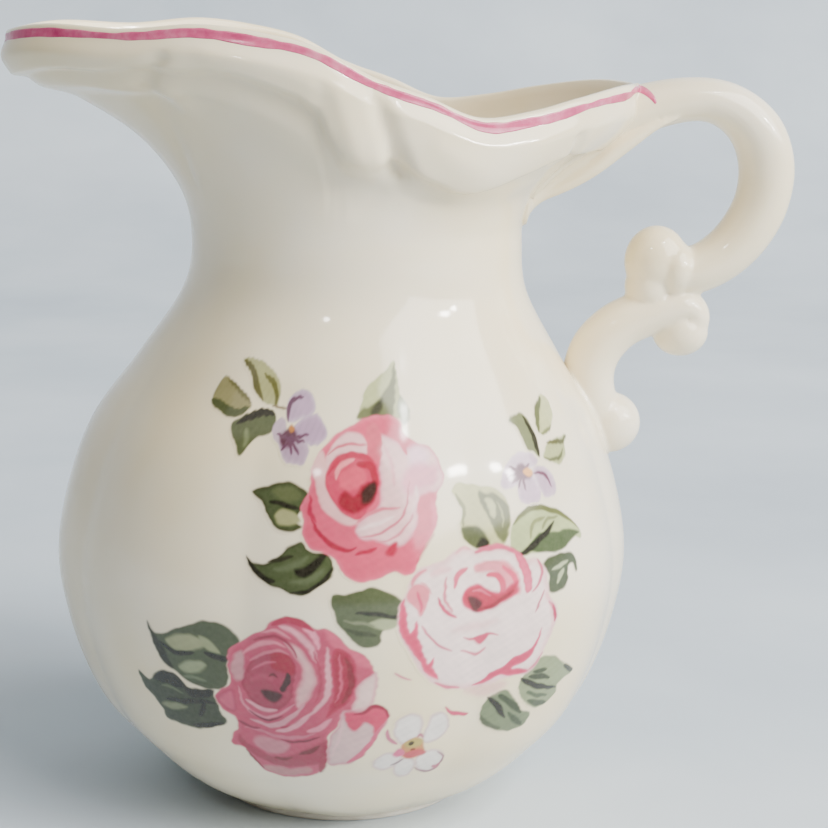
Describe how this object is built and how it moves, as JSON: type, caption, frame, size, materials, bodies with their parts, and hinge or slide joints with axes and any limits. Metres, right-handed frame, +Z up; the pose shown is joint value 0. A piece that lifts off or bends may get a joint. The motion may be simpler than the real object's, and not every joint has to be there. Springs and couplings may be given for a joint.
{
  "type": "cream jug",
  "caption": "Porcelain cream jug with a fluted belly, narrow neck, long scrolled spout, S-scroll handle, painted rim line and rose transfers, for holding and pouring cream.",
  "frame": {"origin": "centre of the foot's underside, on the table", "axes": "+Z up, -X towards the spout, +X towards the handle, Y across the jug"},
  "size_m": [0.1253, 0.0923, 0.1241],
  "materials": {
    "glazed_porcelain": "glossy warm white glaze",
    "bare_porcelain": "matt unglazed biscuit",
    "pink_enamel": "brushed on-glaze enamel, glossy",
    "rose_transfer": "fired printed transfer, glossy",
    "violet_transfer": "fired printed transfer, glossy"
  },
  "bodies": {
    "root": {"body": "glazed_porcelain", "foot": "bare_porcelain", "handle": "glazed_porcelain", "upper_luting_joint": "glazed_porcelain", "lower_luting_joint": "glazed_porcelain", "rim_line": "pink_enamel", "rose_spray_transfer": "rose_transfer", "left_violet_transfer": "violet_transfer", "right_violet_transfer": "violet_transfer"}
  },
  "joints": []
}
